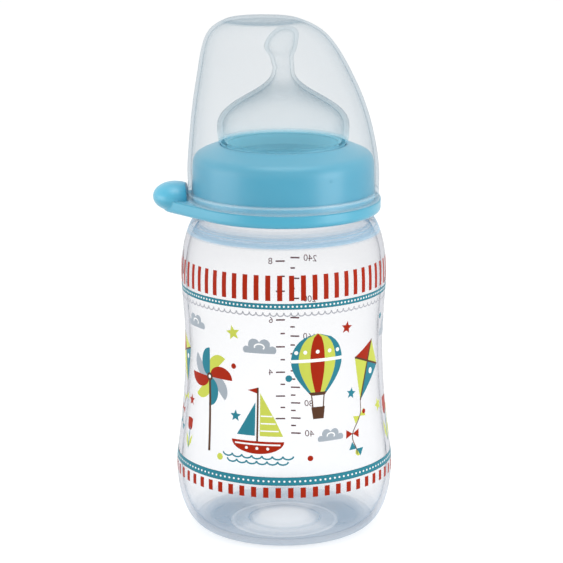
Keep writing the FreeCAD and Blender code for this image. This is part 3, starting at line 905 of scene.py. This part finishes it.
def gate_mark(thing):
    """The little round scar that moulding leaves on the ring's wall: a low rim round a dimple."""
    turn = math.radians(GATE_TURN)
    outward = outward_at(turn)
    across = outward_at(turn + math.pi / 2)
    middle = outward * radius_of(thing, turn, GATE_HEIGHT) + Vector((0, 0, GATE_HEIGHT))
    mesh = bmesh.new()
    rows = []
    for share, rise in GATE_PROFILE:
        rim = arc(0, 0, share * GATE_RADIUS, share * GATE_RADIUS, 0, 360, GATE_SIDES)[:-1]
        rows.append([
            mesh.verts.new((middle + across * x + Vector((0, 0, y)) + outward * rise) * MM)
            for x, y in rim
        ])
    bridge(mesh, rows)
    mesh.faces.new(rows[-1])
    bmesh.ops.recalc_face_normals(mesh, faces=mesh.faces)
    data = mesh_data(mesh, "gate_mark")
    data.shade_smooth()
    material = solid_material("gate_mark", GATE_BLUE, GATE_ROUGH, GATE_MOTTLE, GATE_SHINE)
    mark = new_object("gate_mark", data, "ring", material)


# Stage, light and camera

def light_path_white(nodes, links):
    """1 for what the camera sees straight, mirrored or through clear plastic, else 0."""
    path = nodes.new("ShaderNodeLightPath").outputs
    total = path["Is Camera Ray"]
    for kind in ("Is Glossy Ray", "Is Transmission Ray"):
        total = joined(nodes, links, "MAXIMUM", total, path[kind])
    return total


def make_world():
    """White to look at, and a softer light on matt surfaces."""
    world = bpy.data.worlds.new("studio")
    bpy.context.scene.world = world
    world.use_nodes = True
    nodes, links = world.node_tree.nodes, world.node_tree.links
    background = nodes["Background"]
    background.inputs["Color"].default_value = (1, 1, 1, 1)
    strength = span(nodes, links, light_path_white(nodes, links), SKY_LIGHT, 1)
    links.new(strength, background.inputs["Strength"])


def make_floor():
    """A plain pale floor that keeps the shadow."""
    mesh = bpy.data.meshes.new("floor")
    half = FLOOR_SIZE / 2 * MM
    low = -FLOOR_DROP * MM
    mesh.from_pydata([(x, y, low) for x, y in corners(-half, half, -half, half)], [], [(0, 1, 2, 3)])
    floor = bpy.data.objects.new("floor", mesh)
    bpy.context.scene.collection.objects.link(floor)
    material, nodes, links, shader = new_material("floor")
    shader.inputs["Base Color"].default_value = (*FLOOR_COLOUR, 1)
    shader.inputs["Roughness"].default_value = FLOOR_ROUGH
    shader.inputs["Specular IOR Level"].default_value = 0.0
    shader.inputs["Emission Color"].default_value = (1, 1, 1, 1)
    lift = span(nodes, links, light_path_white(nodes, links), 0, FLOOR_LIFT)
    links.new(lift, shader.inputs["Emission Strength"])
    mesh.materials.append(material)


def make_softbox(name, place, size, brightness):
    """A soft rectangular lamp that points at the bottle."""
    data = bpy.data.lights.new(name, "AREA")
    data.shape = "RECTANGLE"
    data.size, data.size_y = (side * MM for side in size)
    data.energy = brightness * math.pi * data.size * data.size_y
    lamp = bpy.data.objects.new(name, data)
    bpy.context.scene.collection.objects.link(lamp)
    lamp.location = Vector(place) * MM
    lamp.rotation_euler = (Vector(AIM) - Vector(place)).to_track_quat("-Z", "Y").to_euler()


def make_camera():
    """The camera, at the photograph's viewing angle."""
    data = bpy.data.cameras.new("camera")
    data.lens = CAMERA_LENS
    data.sensor_width = CAMERA_SENSOR
    camera = bpy.data.objects.new("camera", data)
    bpy.context.scene.collection.objects.link(camera)
    camera.location = Vector(CAMERA_PLACE) * MM
    pitch = Matrix.Rotation(math.radians(90 - CAMERA_PITCH), 3, "X")
    roll = Matrix.Rotation(math.radians(CAMERA_ROLL), 3, "Z")
    camera.rotation_euler = (pitch @ roll).to_euler()
    bpy.context.scene.camera = camera


# The solids' materials
bottle_plastic = clear_material(
    "bottle_plastic", BOTTLE_ROUGH, BOTTLE_SHINE, (BOTTLE_TINT, BOTTLE_DENSITY), BOTTLE_VEIL, BOTTLE_BANDS,
    foot=True,
)
cap_plastic = clear_material(
    "cap_plastic", CAP_ROUGH, CAP_SHINE, (CAP_TINT, CAP_DENSITY), CAP_VEIL, CAP_BANDS
)
silicone = clear_material(
    "silicone", TEAT_ROUGH, TEAT_SHINE, (TEAT_TINT, TEAT_DENSITY), TEAT_VEIL, TEAT_BANDS
)
ring_plastic = ring_material()
bottle = dress("bottle_body", bottle_plastic)
dress("teat", silicone)
ring = dress("screw_ring", ring_plastic)
hood = dress("protective_cap", cap_plastic)

# The print, on the bottle's radius as it is before its skin is drawn inside
bottle_radius = skin_radius(bottle)
draw_inside(bottle, SKIN_INSET)
draw_inside(hood, HOOD_INSET)
print_inks = {ink_kind: bmesh.new() for ink_kind in INKS}
stripes(print_inks["red"], *UPPER_STRIPES, UPPER_STRIPE_OFFSET)
stripes(print_inks["red"], *LOWER_STRIPES, LOWER_STRIPE_OFFSET)
ribbon(print_inks, *UPPER_RIBBON, UPPER_DOT_STEP)
ribbon(print_inks, *LOWER_RIBBON, LOWER_DOT_STEP)
lace(print_inks["lace"])
pictures(print_inks)
for ink_kind, ink_mesh in print_inks.items():
    wrap(ink_mesh, ink_kind, *INKS[ink_kind], bottle_radius)
wrap(scale(), "scale", *SCALE_INK, bottle_radius, middle=SCALE_MIDDLE)

# The threads; the ring's is half a lead away, so that it runs between the turns of the neck's
neck_thread = thread(
    "neck_thread", *THREAD_NECK, THREAD_PHASE, THREAD_NECK_LOW, "bottle", bottle_plastic
)
ring_thread = thread(
    "ring_thread", *THREAD_RING, THREAD_PHASE - THREAD_LEAD / 2, THREAD_RING_LOW, "ring", ring_plastic
)
gate_mark(ring)

# The studio
make_world()
make_floor()
for lamp_name, settings in SOFTBOXES.items():
    make_softbox(lamp_name, *settings)
make_camera()
bpy.context.scene.view_settings.view_transform = "Standard"
bpy.context.scene.cycles.transparent_max_bounces = CLEAR_LAYERS
